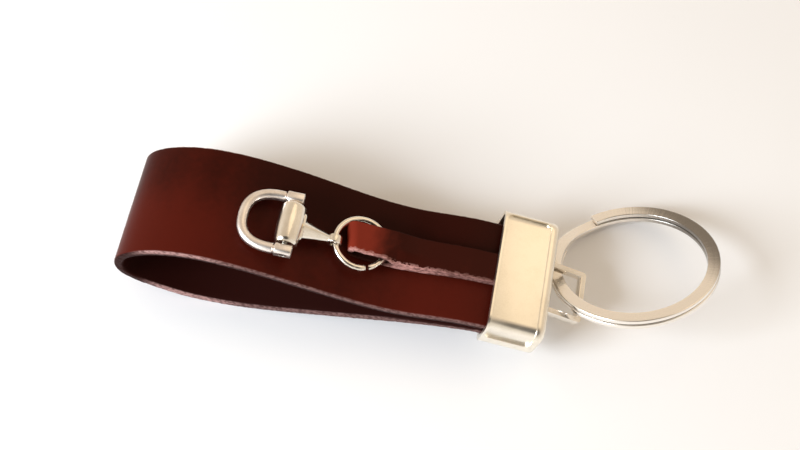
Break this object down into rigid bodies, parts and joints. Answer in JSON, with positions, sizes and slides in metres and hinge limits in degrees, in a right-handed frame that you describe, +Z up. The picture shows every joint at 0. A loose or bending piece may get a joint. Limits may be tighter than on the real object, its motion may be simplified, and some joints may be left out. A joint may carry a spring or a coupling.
{
  "type": "wristlet keychain",
  "caption": "Leather wristlet loop in a cast metal end clamp with a bail and split ring, and a narrow tab that carries a small horse bit charm.",
  "frame": {"origin": "middle of the whole object's bounding box, at its underside", "axes": "+X along the strap from the loop towards the split ring, +Z up out of the surface it lies on, +Y to the far side"},
  "size_m": [0.1238, 0.0394, 0.0244],
  "materials": {
    "oxblood_leather": "smooth glazed",
    "tab_leather": "smooth, raw cut edges",
    "satin_nickel": "satin plated",
    "bright_nickel": "polished",
    "steel_screw": "turned"
  },
  "bodies": {
    "root": {"main_strap": "oxblood_leather", "tab_strap": "tab_leather", "clamp_cap": "satin_nickel", "clamp_screw_1": "steel_screw", "clamp_screw_2": "steel_screw"},
    "bail": {"bail": "bright_nickel"},
    "key_ring": {"key_ring": "satin_nickel"},
    "jump_ring": {"jump_ring": "bright_nickel"},
    "mouthpiece": {"bit_mouthpiece": "bright_nickel"},
    "d_ring": {"bit_d_ring": "bright_nickel", "bit_pin": "steel_screw"}
  },
  "joints": [
    {"name": "bail_pivot", "type": "hinge", "parent": "root", "child": "bail", "pos_m": [0.02538, -0.00653, 0.01072], "axis": [0, -1, 0], "range_deg": [-2, 17]},
    {"name": "key_ring_swing", "type": "hinge", "parent": "bail", "child": "key_ring", "pos_m": [0.03403, -0.00653, 0.00704], "axis": [0, -1, 0], "range_deg": [-3, 30]},
    {"name": "jump_ring_swing", "type": "hinge", "parent": "root", "child": "jump_ring", "pos_m": [-0.0067, -0.00683, 0.01502], "axis": [0, 1, 0], "range_deg": [0, 8]},
    {"name": "mouthpiece_swing", "type": "hinge", "parent": "jump_ring", "child": "mouthpiece", "pos_m": [-0.01709, -0.00783, 0.01801], "axis": [0, 1, 0], "range_deg": [0, 90]},
    {"name": "d_ring_swing", "type": "hinge", "parent": "mouthpiece", "child": "d_ring", "pos_m": [-0.0262, -0.00783, 0.02191], "axis": [0, 1, 0], "range_deg": [0, 125]}
  ]
}
